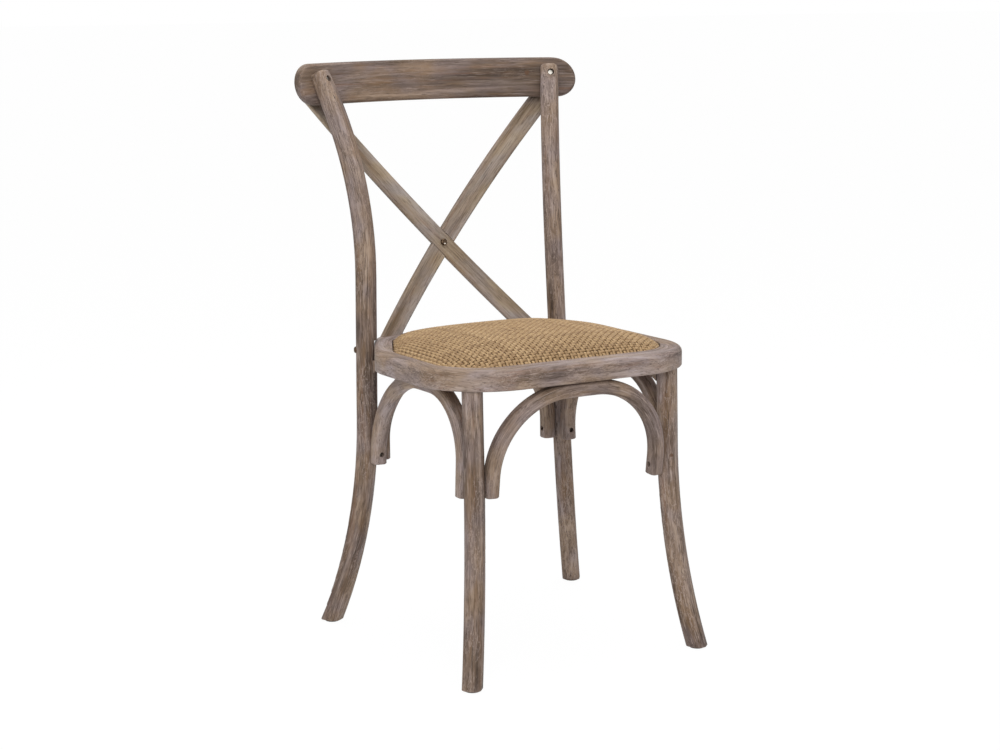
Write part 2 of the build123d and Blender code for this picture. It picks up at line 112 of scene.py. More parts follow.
# Changes along and across, detail, roughness, and the low and high end of the range
WOOD_LAYERS = {
    "streaks": Layer(1, 1, 3, 0.6),
    "fibres": Layer(3, 5, 2, 0.6),
    "cloud": Layer(0.7, 0.13, 2, 0.5),
    "mottle": Layer(4.5, 0.5, 3, 0.6, 0.004, 0.02),
    "warm": Layer(2.4, 0.07, 2, 0.5, 0.36, 0.64),
    "stain": Layer(1.4, 0.22, 3, 0.55, 0.52, 0.72),
    "wash": Layer(1.1, 0.4, 3, 0.6, 0.5, 0.74),
    "rust": Layer(0.9, 0.62, 3, 0.6, 0.55, 0.7),
    "flecks": Layer(5, 2.1, 2, 0.55, 0.58, 0.7),
    "crackle": Layer(11, 0.9, 2, 0.5, 0.006, 0.035),
    "crackled": Layer(1.6, 0.1, 2, 0.5, 0.44, 0.58),
    "pores": Layer(8, 3.2, 1, 0.4, 0.6, 0.72),
    "crack": Layer(0.8, 1.1, 2, 0.5, 0.005, 0.022),
    "cracked": Layer(2.2, 0.4, 2, 0.5, 0.47, 0.58),
}

# Share of each layer in the wood's tone, and of the mottle on a piece with wear of 1
TONE_SHARES = {"streaks": 0.6, "fibres": 0.45, "cloud": 1.2}
MOTTLE_SHARE = 0.7

# Share of streaks and fibres in the wood's relief, and of the pores, which are cut in
STREAK_RELIEF = 0.5
FIBRE_RELIEF = 0.3
PORE_RELIEF = 0.5

# Cover of flecks and cracks on a piece without wear, and of a rubbed edge between its streaks
LEAST_FLECKS = 0.2
LEAST_CRACKS = 0.3
LEAST_RUB = 0.2

# Shares of cover over which an edge's rubbing and the shade between strands set in
EDGE_RANGE = (0.25, 0.8)
SHADE_RANGE = (0.32, 0.74)

# Cane: how fast its fibres change along a strand, round it and from strand to strand, its patches along
# a strand and from strand to strand, and its own tone, on two axes, from strand to strand
FIBRE_PACE = (60, 9, 37)
PATCH_PACE = (22, 11)
OWN_PACE = (41, 17)

# Cane: share of the fibres, the patches and the strand's own tone in its tone
CANE_SHARES = (0.5, 0.6, 0.4)

# Where each colour stands on the way from dark to pale
WOOD_STOPS = {"dark": 0.12, "low": 0.36, "middle": 0.56, "wash": 0.92}
CANE_STOPS = {"dark": 0.2, "middle": 0.52, "light": 0.85}

# Strands: steps to a pitch, points that search the rim, and how they calm down and widen near the rim
STEPS_TO_PITCH = 4
RIM_SEARCH = 2001
CALM_SHARE = 0.04
LEAST_SWING = 0.4
RIM_WIDENING = 0.25

# Strands: drift in pitches and swell in widths, each with its radians from strand to strand and per metre
DRIFT = 0.05
DRIFT_TURNS = (2.4, 31)
SWELL = 0.09
SWELL_TURNS = (1.7, 47)

# Strands: step of the own tone from strand to strand, and where the weft's tones start
OWN_TONE_STEP = 0.618
WEFT_TONE_START = 0.37

# Ground: sides of a ring, gauges of the rings, and heights of the last ones, which close it under the rim
GROUND_SIDES = 120
GROUND_RINGS = (0.02, 0.15, 0.3, 0.45, 0.6, 0.72, 0.82, 0.9, 0.95, 0.98, 0.99, 0.985, 0.97)
GROUND_HEM = (-0.001, -0.002)

# Rays that show the background
BACKGROUND_RAYS = ("Is Camera Ray", "Is Glossy Ray", "Is Transmission Ray")


def tint(red, green, blue):
    """Linear colour of a display colour given in steps of 0 to 255."""
    share = np.array((red, green, blue)) / 255
    low = share / 12.92
    high = ((share + 0.055) / 1.055) ** 2.4
    return tuple(float(value) for value in np.where(share < 0.04045, low, high))


def solid(colour):
    """A colour with full cover, as a shader socket takes it."""
    return (*colour, 1)


def scaled(colour, factor):
    """A colour made brighter or darker by a factor."""
    return tuple(value * factor for value in colour)


def warmer(colour, share, olive):
    """A colour with a share less blue and parts of that share more red and green, or the reverse for a share
    below nought, and with an olive share more green."""
    red_part = 0.4
    green_part = 0.04
    red, green, blue = colour
    return (red * (1 + share * red_part), green * (1 + share * green_part + olive), blue * (1 - share))


def points_of(name):
    """All the points of a CAD node, as one array."""
    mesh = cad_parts[name].data
    flat = np.empty(len(mesh.vertices) * 3)
    mesh.vertices.foreach_get("co", flat)
    return flat.reshape(-1, 3)


class WashedWood(bpy.types.PropertyGroup):
    """Colours, grain and wear of the wood."""

    dark: FloatVectorProperty(
        name="Dark grain", description="Colour deep in the grain", subtype="COLOR", default=tint(70, 56, 46)
    )
    low: FloatVectorProperty(
        name="Low tone", description="Colour of the darker wood", subtype="COLOR", default=tint(106, 89, 78)
    )
    middle: FloatVectorProperty(
        name="Middle tone", description="Colour of most wood", subtype="COLOR", default=tint(132, 113, 101)
    )
    wash: FloatVectorProperty(
        name="Wash", description="Pale wash left on the wood", subtype="COLOR", default=tint(171, 153, 143)
    )
    stain: FloatVectorProperty(
        name="Stain", description="Warm stain under the wash", subtype="COLOR", default=tint(131, 101, 71)
    )
    rust: FloatVectorProperty(
        name="Rust", description="Reddish heart of the wood", subtype="COLOR", default=tint(118, 84, 64)
    )
    knot: FloatVectorProperty(
        name="Knot", description="Colour of the knots", subtype="COLOR", default=tint(94, 66, 47)
    )
    tone: FloatProperty(
        name="Tone", description="Middle tone, from dark grain to wash", subtype="FACTOR", default=0.53
    )
    warmth: FloatProperty(
        name="Warmth", description="How far patches turn warm or cool", subtype="FACTOR", default=0.13
    )
    olive: FloatProperty(
        name="Olive", description="How much greener the slats are", subtype="FACTOR", default=0.06
    )
    grain_pitch: FloatProperty(
        name="Grain pitch", description="Width of a grain streak", unit="LENGTH", default=0.0034
    )
    grain_length: FloatProperty(
        name="Grain length", description="Length of a grain streak", unit="LENGTH", default=0.16
    )
    wander: FloatProperty(
        name="Wander", description="How far the grain strays sideways", unit="LENGTH", default=0.004
    )
    relief: FloatProperty(
        name="Relief", description="Depth of the open grain", unit="LENGTH", default=0.0004
    )
    rough: FloatProperty(
        name="Roughness", description="Roughness of the darkest wood", subtype="FACTOR", default=0.74
    )
    polish: FloatProperty(
        name="Polish", description="How much smoother the palest wood is", subtype="FACTOR", default=0.16
    )
    shine: FloatProperty(
        name="Shine", description="Strength of the wood's reflections", subtype="FACTOR", default=0.32
    )
    veins: FloatProperty(
        name="Veins", description="Cover of the dark veins", subtype="FACTOR", default=0.45
    )
    stained: FloatProperty(
        name="Stained", description="Cover of the warm stain", subtype="FACTOR", default=0.42
    )
    washed: FloatProperty(
        name="Washed", description="Cover of the pale wash", subtype="FACTOR", default=0.42
    )
    rusted: FloatProperty(
        name="Rusted", description="Cover of the reddish heart", subtype="FACTOR", default=0.38
    )
    flecks: FloatProperty(
        name="Flecks", description="Cover that wear gives pale flecks", subtype="FACTOR", default=0.5
    )
    crackle: FloatProperty(
        name="Crackle", description="Cover of the pale crackle", subtype="FACTOR", default=0.5
    )
    pores: FloatProperty(
        name="Pores", description="Cover of the dark pores", subtype="FACTOR", default=0.6
    )
    cracks: FloatProperty(
        name="Cracks", description="Cover that wear gives dark cracks", subtype="FACTOR", default=0.5
    )
    rubbed: FloatProperty(
        name="Rubbed", description="Cover of the wash on rubbed edges", subtype="FACTOR", default=0.55
    )
    edge_reach: FloatProperty(
        name="Edge reach", description="How wide an edge is rubbed", unit="LENGTH", default=0.005
    )
    knotted: FloatProperty(
        name="Knotted", description="Cover of the knots' colour", subtype="FACTOR", default=0.85
    )
    # Painted shade: cover of the wood's dark colour in corners and between parts, found by ambient occlusion
    painted_corner_shade: FloatProperty(
        name="Corner shade", description="Cover of the dark colour in corners", subtype="FACTOR", default=0.35
    )
    corner_reach: FloatProperty(
        name="Corner reach", description="How wide a corner is dark", unit="LENGTH", default=0.02
    )


class RattanSeat(bpy.types.PropertyGroup):
    """Sizes and colours of the woven seat."""

    pitch: FloatProperty(
        name="Strand pitch", description="From strand to strand", unit="LENGTH", default=0.0062
    )
    width: FloatProperty(
        name="Strand width", description="Width of a strand", unit="LENGTH", default=0.0053
    )
    thick: FloatProperty(
        name="Strand thickness", description="Thickness of a strand", unit="LENGTH", default=0.0028
    )
    sides: IntProperty(name="Strand sides", description="Sides of a strand's section", default=6)
    sink: FloatProperty(
        name="Sink", description="Depth of a strand's middle under the crown, in thicknesses", default=0.75
    )
    ground_sink: FloatProperty(
        name="Ground sink", description="Depth of the ground under the crown, in thicknesses", default=1.25
    )
    foot: FloatProperty(
        name="Foot", description="Height of the crown's base over the pad's underside", unit="LENGTH",
        default=0.002,
    )
    crown: FloatProperty(
        name="Crown", description="Height of the seat's middle", unit="LENGTH", default=0.026
    )
    edge: FloatProperty(
        name="Edge", description="Height of the crown's rim", unit="LENGTH", default=0.005
    )
    power: FloatProperty(name="Crown power", description="How flat the crown's middle is", default=3.5)
    oval: FloatProperty(name="Oval power", description="How square the crown's middle is", default=2.6)
    roll: FloatProperty(
        name="Roll", description="Share of the seat that rolls over the rim", subtype="FACTOR", default=0.13
    )
    roll_power: FloatProperty(name="Roll power", description="How late the rim rolls down", default=2.2)
    tuck: FloatProperty(
        name="Tuck", description="Depth of the rolled rim under the crown's base", unit="LENGTH",
        default=0.0015,
    )
    slope: FloatProperty(
        name="Slope", description="Slope of the seat", subtype="ANGLE", default=math.radians(1.15)
    )
    light: FloatVectorProperty(
        name="Pale cane", description="Colour of pale strands", subtype="COLOR", default=tint(210, 181, 140)
    )
    middle: FloatVectorProperty(
        name="Cane", description="Colour of most strands", subtype="COLOR", default=tint(180, 149, 109)
    )
    dark: FloatVectorProperty(
        name="Dark cane", description="Colour of dark strands", subtype="COLOR", default=tint(134, 104, 70)
    )
    # Painted shade: laid on strands where they shade each other, and the colour of the dark ground, which
    # shows as shade in the gaps
    shade: FloatVectorProperty(
        name="Ground", description="Colour under the weave", subtype="COLOR", default=tint(72, 52, 32)
    )
    shade_reach: FloatProperty(
        name="Shade reach", description="How far strands shade each other", unit="LENGTH", default=0.005
    )
    tone: FloatProperty(
        name="Cane tone", description="Middle tone, from dark to pale cane", subtype="FACTOR", default=0.47
    )
    fibre_relief: FloatProperty(
        name="Fibre relief", description="Depth of the cane's fibres", unit="LENGTH", default=0.0002
    )
    rough: FloatProperty(
        name="Roughness", description="Least roughness of the cane", subtype="FACTOR", default=0.5
    )
    dry: FloatProperty(
        name="Dry fibres", description="How much rougher dry fibres are", subtype="FACTOR", default=0.15
    )
    shine: FloatProperty(
        name="Shine", description="Strength of the cane's reflections", subtype="FACTOR", default=0.35
    )
    weft_dark: FloatProperty(
        name="Weft", description="How much darker the weft is", subtype="FACTOR", default=0.08
    )


class Fittings(bpy.types.PropertyGroup):
    """Colours and polish of the screws, rivet and glides, and the rivet's painted highlight."""

    zinc: FloatVectorProperty(
        name="Zinc", description="Colour of the screws", subtype="COLOR", default=tint(196, 192, 184)
    )
    zinc_rough: FloatProperty(
        name="Zinc roughness", description="Least roughness of zinc", subtype="FACTOR", default=0.25
    )
    zinc_dull: FloatProperty(
        name="Dull zinc", description="Brightness of tarnished zinc", subtype="FACTOR", default=0.72
    )
    bronze: FloatVectorProperty(
        name="Bronze", description="Colour of the rivet and bolts", subtype="COLOR", default=tint(98, 80, 64)
    )
    bronze_rough: FloatProperty(
        name="Bronze roughness", description="Least roughness of bronze", subtype="FACTOR", default=0.02
    )
    bronze_dull: FloatProperty(
        name="Dull bronze", description="Brightness of tarnished bronze", subtype="FACTOR", default=0.6
    )
    # Painted highlight on the rivet: its pale colour and the radii of its spot
    bright: FloatVectorProperty(
        name="Bright", description="Colour of the painted highlight on the crown", subtype="COLOR", default=tint(238, 230, 218)
    )
    spot: FloatProperty(
        name="Spot", description="Radius of the bright spot's middle", unit="LENGTH", default=0.0009
    )
    spot_edge: FloatProperty(
        name="Spot's edge", description="Radius at which the bright spot ends", unit="LENGTH", default=0.0021
    )
    nylon: FloatVectorProperty(
        name="Nylon", description="Colour of the glides", subtype="COLOR", default=tint(96, 84, 74)
    )


class ChairStage(bpy.types.PropertyGroup):
    """Camera, floor and light."""

    azimuth: FloatProperty(
        name="Azimuth", description="Camera's turn", subtype="ANGLE", default=math.radians(-30.4)
    )
    elevation: FloatProperty(
        name="Elevation", description="Camera's height", subtype="ANGLE", default=math.radians(11.1)
    )
    distance: FloatProperty(
        name="Distance", description="Camera to its aim", unit="LENGTH", default=3.2838
    )
    aim: FloatVectorProperty(
        name="Aim", description="Point that the lamps look at", subtype="TRANSLATION",
        default=(0, -0.0442, 0.4125),
    )
    aside: FloatProperty(
        name="Aside", description="Camera's aim to the right of it", unit="LENGTH", default=-0.0263
    )
    lens: FloatProperty(name="Lens", description="Focal length in millimetres", default=76.43)
    sensor: FloatProperty(name="Sensor", description="Width of the sensor in millimetres", default=36)
    floor: FloatVectorProperty(
        name="Floor", description="Colour of the floor", subtype="COLOR", default=tint(246, 246, 246)
    )
    reach: FloatProperty(
        name="Floor reach", description="Half the floor's width", unit="LENGTH", default=30
    )
    glow: FloatProperty(name="Glow", description="Strength of the floor's white to the camera", default=1.02)
    glow_share: FloatProperty(
        name="Glow share", description="Share of that white in the floor", subtype="FACTOR", default=0.95
    )
    world: FloatProperty(name="World", description="Strength of the even light", default=0.42)
    key: FloatProperty(name="Key", description="Power of the large lamp", unit="POWER", default=60)
    key_size: FloatProperty(
        name="Key size", description="Width of the large lamp", unit="LENGTH", default=2.2
    )
    key_place: FloatVectorProperty(
        name="Key place", description="Place of the large lamp", subtype="TRANSLATION",
        default=(-1.6, -2.6, 2.4),
    )
    top: FloatProperty(name="Top", description="Power of the lamp overhead", unit="POWER", default=40)
    top_size: FloatProperty(
        name="Top size", description="Width of the lamp overhead", unit="LENGTH", default=2.4
    )
    top_place: FloatVectorProperty(
        name="Top place", description="Place of the lamp overhead", subtype="TRANSLATION",
        default=(0.3, 0.2, 2.9),
    )


class Wire:
    """A value in a shader. Arithmetic on it adds Math nodes to its tree."""

    def __init__(self, tree, socket=None):
        self.tree = tree
        self.socket = socket

    def add(self, kind, settings, sockets, out=0):
        """Any node: its type, its settings, set first, and the values or links of its sockets."""
        node = self.tree.nodes.new(kind)
        for key, value in settings.items():
            if key == "stops":
                ramp = node.color_ramp.elements
                for place, _ in value[2:]:
                    ramp.new(place)
                for stop, (place, colour) in zip(ramp, value):
                    stop.position = place
                    stop.color = colour
            else:
                setattr(node, key, value)
        for key, value in sockets.items():
            if isinstance(value, Wire):
                self.tree.links.new(value.socket, node.inputs[key])
            else:
                node.inputs[key].default_value = value
        return Wire(self.tree, node.outputs[out])

    def maths(self, operation, *values):
        """A Math node's operation on some values."""
        return self.add("ShaderNodeMath", {"operation": operation}, dict(enumerate(values)))

    def __add__(self, other):
        return self.maths("ADD", self, other)

    def __radd__(self, other):
        return self.maths("ADD", other, self)

    def __sub__(self, other):
        return self.maths("SUBTRACT", self, other)

    def __rsub__(self, other):
        return self.maths("SUBTRACT", other, self)

    def __mul__(self, other):
        return self.maths("MULTIPLY", self, other)

    def __rmul__(self, other):
        return self.maths("MULTIPLY", other, self)

    def __truediv__(self, other):
        return self.maths("DIVIDE", self, other)

    def __rtruediv__(self, other):
        return self.maths("DIVIDE", other, self)

    def ramp(self, low, high):
        """The value carried from a range to 0 to 1 and held there, along a smooth step."""
        settings = {"interpolation_type": "SMOOTHSTEP"}
        return self.add("ShaderNodeMapRange", settings, {0: self, 1: low, 2: high})

    def shades(self, stops):
        """The value as a colour, from rising stops of a place and a colour."""
        return self.add("ShaderNodeValToRGB", {"stops": stops}, {0: self})

    def noise(self, vector, detail=2.0, rough=0.5, scale=1.0):
        """Cloudy noise of 0 to 1 at a vector."""
        sockets = {"Vector": vector, "Scale": scale, "Detail": detail, "Roughness": rough}
        return self.add("ShaderNodeTexNoise", {}, sockets)

    def mix(self, share, first, second):
        """Two colours mixed by a share."""
        return self.add("ShaderNodeMix", {"data_type": "RGBA"}, {0: share, 6: first, 7: second}, 2)

    def vector(self, x, y, z):
        """A vector of three values."""
        return self.add("ShaderNodeCombineXYZ", {}, {0: x, 1: y, 2: z})

    def parts(self):
        """The three values of a vector."""
        return [self.add("ShaderNodeSeparateXYZ", {}, {0: self}, number) for number in range(3)]

    def distance(self, first, second):
        """The way between two places."""
        return self.add("ShaderNodeVectorMath", {"operation": "DISTANCE"}, {0: first, 1: second}, 1)

    def covered(self, reach, **settings):
        """Share of the space out to a reach that surfaces cover. With inside set it is the space within the
        piece, which is covered at edges."""
        settings = {"samples": 6, **settings}
        return 1 - self.add("ShaderNodeAmbientOcclusion", settings, {"Distance": reach}, 1)

    def bump(self, height, strength, depth):
        """A normal bent by a height of 0 to 1 over a depth."""
        return self.add("ShaderNodeBump", {}, {"Strength": strength, "Distance": depth, "Height": height})


def polynomial(value, factors):
    """Sum of factors times rising powers of a value, by Horner's rule."""
    total = float(factors[-1])
    for factor in factors[-2::-1]:
        total = value * total + float(factor)
    return total


def new_material(name):
    """An empty material, a wire in its tree and its surface shader."""
    material = bpy.data.materials.new(name)
    material.use_nodes = True
    tree = material.node_tree
    shader = tree.nodes["Principled BSDF"]
    return material, Wire(tree), shader


def feed(shader, **sockets):
    """Links or sets sockets of a surface shader, named with spaces written as underscores."""
    for key, value in sockets.items():
        target = shader.inputs[key.replace("_", " ")]
        if isinstance(value, Wire):
            value.tree.links.new(value.socket, target)
        else:
            target.default_value = value


def place_in_object(wire):
    """The place on the piece, as a vector in metres."""
    return wire.add("ShaderNodeTexCoord", {}, {}, "Object")


def dress(material, *names):
    """Gives CAD nodes a material in all their slots."""
    for name in names:
        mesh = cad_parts[name].data
        mesh.materials.clear()
        mesh.materials.append(material)


def grain_along_bar(wire, name):
    """Grain of an upright bar: its length is the height, and its centreline a polynomial in the height."""
    degree = 6
    points = points_of(name)
    x, y, z = place_in_object(wire).parts()
    fit_x = polyfit(points[:, 2], points[:, 0], degree)
    fit_y = polyfit(points[:, 2], points[:, 1], degree)
    return z, x - polynomial(z, fit_x), y - polynomial(z, fit_y)


def grain_along_slat(wire, name):
    """Grain of a slat: its length is the slanting height. Its centreline is straight from the front and
    a cubic in the height from the side."""
    points = points_of(name)
    x, y, z = place_in_object(wire).parts()
    fit_x = polyfit(points[:, 2], points[:, 0], 1)
    fit_y = polyfit(points[:, 2], points[:, 1], 3)
    stretch = math.hypot(1, fit_x[1])
    return z * stretch, (x - polynomial(z, fit_x)) / stretch, y - polynomial(z, fit_y)


def grain_across(wire, name):
    """Grain of the crest rail and the board: its length runs across the chair, and it bends by a quartic."""
    bend_stretch = 1.04
    points = points_of(name)
    x, y, z = place_in_object(wire).parts()
    fit = polyfit(points[:, 0], points[:, 1], 4)
    return x * bend_stretch, z - float(points[:, 2].mean()), y - polynomial(x, fit)


def grain_along_arch(wire, name):
    """Grain of a bow: polar about the middle between its feet. The centreline's radius is a polynomial in
    the turn, and its depth is linear in the height."""
    degree = 6
    across = 0 if name in CROSSWISE_BOWS else 1
    points = points_of(name)
    middle = float(points[:, across].max() + points[:, across].min()) / 2
    foot = float(points[:, 2].min())
    span = points[:, across] - middle
    rise = points[:, 2] - foot
    radii = polyfit(np.arctan2(span, rise), np.hypot(span, rise), degree)
    depths = polyfit(points[:, 2], points[:, 1 - across], 1)
    values = place_in_object(wire).parts()
    along = values[across] - middle
    up = values[2] - foot
    turn = wire.maths("ARCTAN2", along, up)
    radius = wire.maths("SQRT", along * along + up * up)
    depth = values[1 - across] - polynomial(values[2], depths)
    return turn * float(radii[0]), radius - polynomial(turn, radii), depth


def grain_round_frame(wire, name):
    """Grain of the seat frame: polar about its middle. The outline's radius is a cosine series in the turn,
    fitted to the farthest point of each sector, and the depth is measured in from it."""
    terms = 8
    sectors = 120
    mean_radius = 0.21
    points = points_of(name)
    middle = float(points[:, 1].max() + points[:, 1].min()) / 2
    turns = np.arctan2(points[:, 0], middle - points[:, 1])
    radii = np.hypot(points[:, 0], points[:, 1] - middle)
    borders = np.linspace(-np.pi, np.pi, sectors + 1)
    places = np.digitize(turns, borders) - 1
    outer = np.array([radii[places == number].max(initial=0) for number in range(sectors)])
    centres = (borders[1:] + borders[:-1]) / 2
    kept = outer > 0
    series = np.cos(np.outer(centres[kept], np.arange(terms)))
    factors = np.linalg.lstsq(series, outer[kept], rcond=None)[0]
    x, y, z = place_in_object(wire).parts()
    ahead = middle - y
    turn = wire.maths("ARCTAN2", x, ahead)
    outline = float(factors[0])
    for number in range(1, terms):
        outline = outline + wire.maths("COSINE", turn * number) * float(factors[number])
    radius = wire.maths("SQRT", x * x + ahead * ahead)
    return turn * mean_radius, radius - outline, z


def grain_upright(wire, _name):
    """Grain of a small block: straight up."""
    x, y, z = place_in_object(wire).parts()
    return z, x, y


class WoodNoise:
    """The noise layers of a piece of wood, in coordinates along, beside and through its grain.

    The grain strays sideways by a slow noise, and a seed moves all the noises along it.
    """

    def __init__(self, wire, grain, seed):
        stray_along = 5
        stray_across = 12
        stray_start = seed * 3.1
        along, side, depth = grain
        place = wire.vector(along * stray_along + stray_start, side * stray_across, depth * stray_across)
        self.look = bpy.context.scene.chair_wood
        self.wire = wire
        self.along = along
        self.side = side + (wire.noise(place, 1) - 0.5) * self.look.wander
        self.depth = depth
        self.start = seed * 7.3
        self.made = {}

    def plain(self, name):
        """A layer's noise of 0 to 1."""
        if name not in self.made:
            layer = WOOD_LAYERS[name]
            along = self.along * (layer.along / self.look.grain_length) + self.start
            across = layer.across / self.look.grain_pitch
            place = self.wire.vector(along, self.side * across, self.depth * across)
            self.made[name] = self.wire.noise(place, layer.detail, layer.rough)
        return self.made[name]

    def patch(self, name):
        """Patches that set in over the layer's range."""
        layer = WOOD_LAYERS[name]
        return self.plain(name).ramp(layer.low, layer.high)

    def line(self, name):
        """Thin lines where the noise crosses its middle, fading over the layer's range to both sides."""
        layer = WOOD_LAYERS[name]
        return 1 - self.wire.maths("ABSOLUTE", self.plain(name) - 0.5).ramp(layer.low, layer.high)


def knot_spot(wire, place, radius):
    """A round spot with a ragged edge: a ramp of the way from its place, with noise added."""
    ragged = 0.9
    inner = 0.9
    outer = 1.7
    here = place_in_object(wire)
    away = wire.noise(here, scale=260) * (radius * ragged) + wire.distance(here, place)
    return 1 - away.ramp(radius * inner, radius * outer)


def washed_wood(name, grain, seed):
    """Dresses a node in washed wood.

    Its tone is a sum of noises stretched along the grain, and stops turn the tone to a colour, warm or cool
    by patches. Over it lie coats, one after the other: veins, stain, wash, reddish heart, flecks, crackle,
    pores, cracks, rubbed edges, a knot and painted shade in corners.
    """
    look = bpy.context.scene.chair_wood
    worn = WEAR.get(name, 1.0)
    olive = look.olive if name in SLATS else 0.0
    material, wire, shader = new_material(f"wood_{name}")
    noise = WoodNoise(wire, grain(wire, name), seed)
    streaks = noise.plain("streaks")
    fibres = noise.plain("fibres")
    pores = noise.patch("pores")
    crack = noise.line("crack") * noise.patch("cracked")
    edges = wire.covered(look.edge_reach, inside=True, only_local=True).ramp(*EDGE_RANGE)

    tone = (noise.plain("mottle") - 0.5) * (MOTTLE_SHARE * worn) + (look.tone + TONES.get(name, 0.0))
    for layer, share in TONE_SHARES.items():
        tone = tone + (noise.plain(layer) - 0.5) * share

    def toned(warmth):
        """The tone's colour, from dark grain to wash."""
        stops = []
        for key, place in WOOD_STOPS.items():
            stops.append((place, solid(warmer(getattr(look, key), warmth, olive))))
        return tone.shades(stops)

    coats = [
        (noise.line("mottle") * (look.veins * worn), look.dark),
        (noise.patch("stain") * look.stained, look.stain),
        (noise.patch("wash") * look.washed, look.wash),
        (noise.patch("rust") * look.rusted, look.rust),
        (noise.patch("flecks") * (LEAST_FLECKS + look.flecks * worn), look.wash),
        (noise.line("crackle") * noise.patch("crackled") * (look.crackle * worn), look.wash),
        (pores * look.pores, look.dark),
        (crack * (LEAST_CRACKS + look.cracks * worn), look.dark),
        (edges * look.rubbed * (streaks * (1 - LEAST_RUB) + LEAST_RUB), look.wash),
    ]
    if name in KNOTS:
        coats.append((knot_spot(wire, *KNOTS[name]) * look.knotted, look.knot))
    # Painted shade: the dark grain colour laid into corners and between parts by ambient occlusion
    coats.append((wire.covered(look.corner_reach) * look.painted_corner_shade, look.dark))

    colour = wire.mix(noise.patch("warm"), toned(-look.warmth), toned(look.warmth))
    for share, coat in coats:
        colour = wire.mix(share, colour, solid(coat))
    height = streaks * STREAK_RELIEF + fibres * FIBRE_RELIEF - pores * PORE_RELIEF - crack
    bump = wire.bump(height, strength=0.45, depth=look.relief)
    rough = look.rough - tone * look.polish
    feed(shader, Base_Color=colour, Roughness=rough, Normal=bump, Specular_IOR_Level=look.shine)
    dress(material, name)


def cane(name, dark_share):
    """Cane strand: its own tone, fibres and patches that follow its attribute, and shade between strands."""
    look = bpy.context.scene.chair_rattan
    material, wire, shader = new_material(name)
    strand = wire.add("ShaderNodeAttribute", {"attribute_name": "strand"}, {}, "Vector")
    along, round_it, own = strand.parts()
    fibre_place = [value * pace for value, pace in zip((along, round_it, own), FIBRE_PACE)]
    fibres = wire.noise(wire.vector(*fibre_place), detail=2, rough=0.6)
    patches = wire.noise(wire.vector(along * PATCH_PACE[0], own * PATCH_PACE[1], 0.0), detail=2, rough=0.55)
    own_tone = wire.noise(wire.vector(own * OWN_PACE[0], own * OWN_PACE[1], 0.5), detail=0)
    tone = look.tone - dark_share
    for noise, share in zip((fibres, patches, own_tone), CANE_SHARES):
        tone = tone + (noise - 0.5) * share
    colour = tone.shades([(place, solid(getattr(look, key))) for key, place in CANE_STOPS.items()])
    # Painted shade between strands: the ground's dark colour laid on by ambient occlusion
    colour = wire.mix(wire.covered(look.shade_reach).ramp(*SHADE_RANGE), colour, solid(look.shade))
    bump = wire.bump(fibres, strength=0.35, depth=look.fibre_relief)
    rough = look.rough + fibres * look.dry
    feed(shader, Base_Color=colour, Roughness=rough, Normal=bump, Specular_IOR_Level=look.shine)
    return material


def shade_dark_ground(name):
    """Dark ground under the weave, in the painted shade colour so that the gaps between strands read as
    shade: small crossed threads, a product of two sines, and a cloudy tone.
    """
    radians_per_metre = 2400
    thread_share = 0.2
    cloud_share = 0.5
    look = bpy.context.scene.chair_rattan
    material, wire, shader = new_material(name)
    place = place_in_object(wire)
    x, y, _ = place.parts()
    threads = wire.maths("SINE", x * radians_per_metre) * wire.maths("SINE", y * radians_per_metre)
    cloud = wire.noise(place, detail=3, rough=0.6, scale=40)
    share = threads * thread_share + cloud * cloud_share
    colour = wire.mix(share, solid(look.shade), solid(look.dark))
    bump = wire.bump(threads, strength=0.4, depth=0.0003)
    feed(shader, Base_Color=colour, Roughness=0.8 + threads * 0.1, Normal=bump)
    return material


def metal(name, colour, rough, dull, crown=None):
    """Metal fitting: cloudy tarnish, fine scratches and, on a head with a crown, a painted highlight: a pale
    spot in place of a reflection.
    """
    clean_range = (0.35, 0.7)
    rough_range = 0.25
    highlight_cover = 0.95
    look = bpy.context.scene.chair_fittings
    material, wire, shader = new_material(name)
    place = place_in_object(wire)
    tarnish = wire.noise(place, detail=4, rough=0.65, scale=320)
    scratches = wire.noise(place, scale=2600)
    mixed = wire.mix(tarnish.ramp(*clean_range), solid(scaled(colour, dull)), solid(colour))
    if crown is not None:
        # Painted highlight: a pale spot at the crown's front-most point, standing in for a lamp's reflection
        spot = 1 - wire.distance(place, crown).ramp(look.spot, look.spot_edge)
        mixed = wire.mix(spot * highlight_cover, mixed, solid(look.bright))
    bump = wire.bump(scratches, strength=0.2, depth=0.0001)
    feed(shader, Base_Color=mixed, Roughness=tarnish * rough_range + rough, Normal=bump, Metallic=1.0)
    return material


def nylon(name, colour):
    """Moulded nylon: a scuffed, cloudy tone with a fine grain."""
    scuff_range = (0.4, 0.75)
    scuff_tone = 1.5
    least_rough = 0.45
    rough_range = 0.3
    material, wire, shader = new_material(name)
    place = place_in_object(wire)
    scuffs = wire.noise(place, detail=3, rough=0.6, scale=180)
    grain = wire.noise(place, detail=1, scale=1800)
    mixed = wire.mix(scuffs.ramp(*scuff_range), solid(colour), solid(scaled(colour, scuff_tone)))
    bump = wire.bump(grain, strength=0.25, depth=0.0001)
    feed(shader, Base_Color=mixed, Roughness=scuffs * rough_range + least_rough, Normal=bump)
    return material


